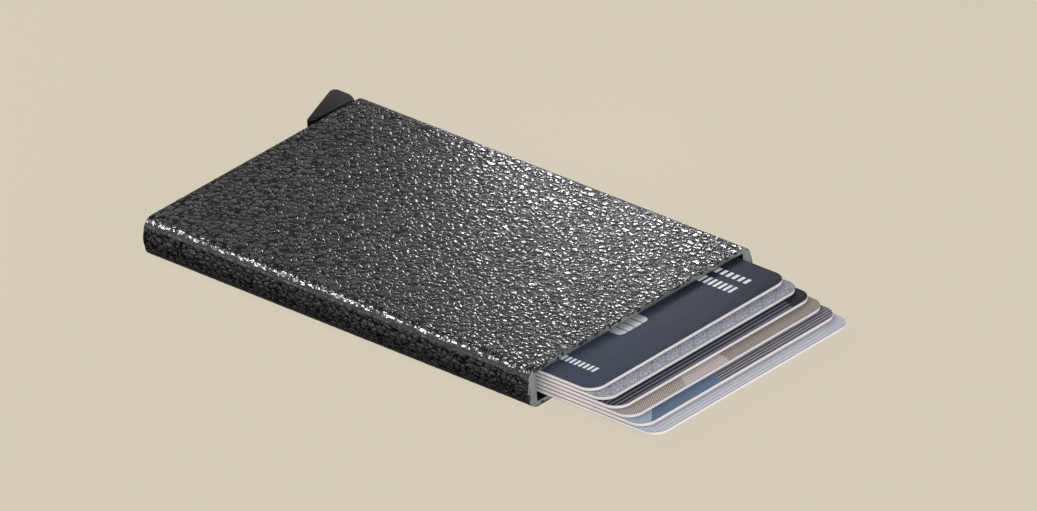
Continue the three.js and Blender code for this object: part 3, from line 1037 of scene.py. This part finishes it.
def studio_surround():
    """A dim grey room: dark below the floor line, palest in a band above it, dimmer overhead."""
    world = bpy.data.worlds.new("studio")
    bpy.context.scene.world = world
    world.use_nodes = True
    tree = world.node_tree
    background = next(n for n in tree.nodes if n.type == "BACKGROUND")
    outward = add(tree, "ShaderNodeTexCoord").outputs["Generated"]
    parts = add(tree, "ShaderNodeSeparateXYZ", {0: outward})
    height = add(tree, "ShaderNodeMapRange", {"Value": parts.outputs[2], "From Min": -1.0})
    ramp = add(tree, "ShaderNodeValToRGB", {0: height})
    while len(ramp.color_ramp.elements) < len(ROOM):
        ramp.color_ramp.elements.new(0.5)
    for element, (position, level) in zip(ramp.color_ramp.elements, ROOM):
        element.position = position
        element.color = (level, level, 1.02 * level, 1)
    # Light thrown up off the table in front of the mouth.
    facing = add(tree, "ShaderNodeVectorMath", {0: outward, 1: TABLE_SIDE},
                 operation="DOT_PRODUCT")
    thrown = add(tree, "ShaderNodeMapRange",
                 {"Value": facing.outputs["Value"], "From Min": 0.6, "From Max": 0.95,
                  "To Max": 0.28},
                 interpolation_type="SMOOTHSTEP")
    total = add(tree, "ShaderNodeMix", {0: 1.0, 6: ramp, 7: thrown}, data_type="RGBA",
                blend_type="ADD")
    tree.links.new(total.outputs[2], background.inputs["Color"])


class CARDWALLET_OT_stage(bpy.types.Operator):
    """Lay the pale floor, set the lights and place the camera"""
    bl_idname = "card_wallet.stage"
    bl_label = "Floor, lights and camera"

    def execute(self, context):
        settings = context.scene.card_wallet_stage
        bpy.ops.object.select_all(action="DESELECT")
        bpy.ops.mesh.primitive_plane_add(size=FLOOR_SIZE, location=(0, 0, -FLOOR_DROP))
        floor = context.object
        floor.name = "floor"
        material, _, shader = new_finish(
            "painted board, matt", Roughness=0.9, Specular_IOR_Level=0.0,
            Base_Color=opaque([FLOOR_LIT * channel for channel in settings.floor_colour]),
            Emission_Color=opaque(settings.floor_colour), Emission_Strength=FLOOR_GLOW)
        floor.data.materials.append(material)
        floor.visible_glossy = False
        studio_surround()
        for softbox in SOFTBOXES:
            add_softbox(*softbox)
        camera_data = bpy.data.cameras.new("camera")
        camera = bpy.data.objects.new("camera", camera_data)
        context.scene.collection.objects.link(camera)
        camera_data.lens, camera_data.sensor_width = settings.lens, 36
        camera_data.clip_start, camera_data.clip_end = 0.1, 50
        a, e, r = settings.camera_azimuth, settings.camera_elevation, settings.camera_roll
        back = Vector((math.sin(a) * math.cos(e), -math.cos(a) * math.cos(e), math.sin(e)))
        level = Vector((math.cos(a), math.sin(a), 0))
        upright = back.cross(level)
        right = level * math.cos(r) + upright * math.sin(r)
        up = upright * math.cos(r) - level * math.sin(r)
        turn = Matrix((right, up, back)).transposed()
        place = CAMERA_TARGET + back * settings.camera_distance
        camera.matrix_world = Matrix.Translation(place) @ turn.to_4x4()
        context.scene.camera = camera
        context.scene.view_settings.view_transform = "Standard"
        return {"FINISHED"}


# ----- panel and registration


class CARDWALLET_PT_pieces(bpy.types.Panel):
    """The wallet's settings and the buttons that make its pieces"""
    bl_label = "Card Wallet"
    bl_idname = "CARDWALLET_PT_pieces"
    bl_space_type = "VIEW_3D"
    bl_region_type = "UI"
    bl_category = "Card Wallet"

    def draw(self, context):
        for name in SETTINGS:
            group = getattr(context.scene, name)
            box = self.layout.box()
            for prop in group.bl_rna.properties:
                if prop.identifier not in ("rna_type", "name"):
                    box.prop(group, prop.identifier)
        for operator in OPERATORS:
            self.layout.operator(operator.bl_idname)


SETTINGS = {
    "card_wallet_case": CaseSettings, "card_wallet_lever": LeverSettings,
    "card_wallet_cards": CardSettings, "card_wallet_stage": StageSettings,
}
OPERATORS = (
    CARDWALLET_OT_case_core, CARDWALLET_OT_case_coat, CARDWALLET_OT_end_cap, CARDWALLET_OT_lever,
    CARDWALLET_OT_grips, CARDWALLET_OT_cards, CARDWALLET_OT_chip, CARDWALLET_OT_stage,
)


def register():
    for cls in (*SETTINGS.values(), *OPERATORS, CARDWALLET_PT_pieces):
        bpy.utils.register_class(cls)
    for name, cls in SETTINGS.items():
        setattr(bpy.types.Scene, name, PointerProperty(type=cls))


def unregister():
    for name in SETTINGS:
        delattr(bpy.types.Scene, name)
    for cls in reversed((*SETTINGS.values(), *OPERATORS, CARDWALLET_PT_pieces)):
        bpy.utils.unregister_class(cls)


def main():
    register()
    for operator in OPERATORS:
        category, name = operator.bl_idname.split(".")
        getattr(getattr(bpy.ops, category), name)()


if __name__ == "__main__":
    main()
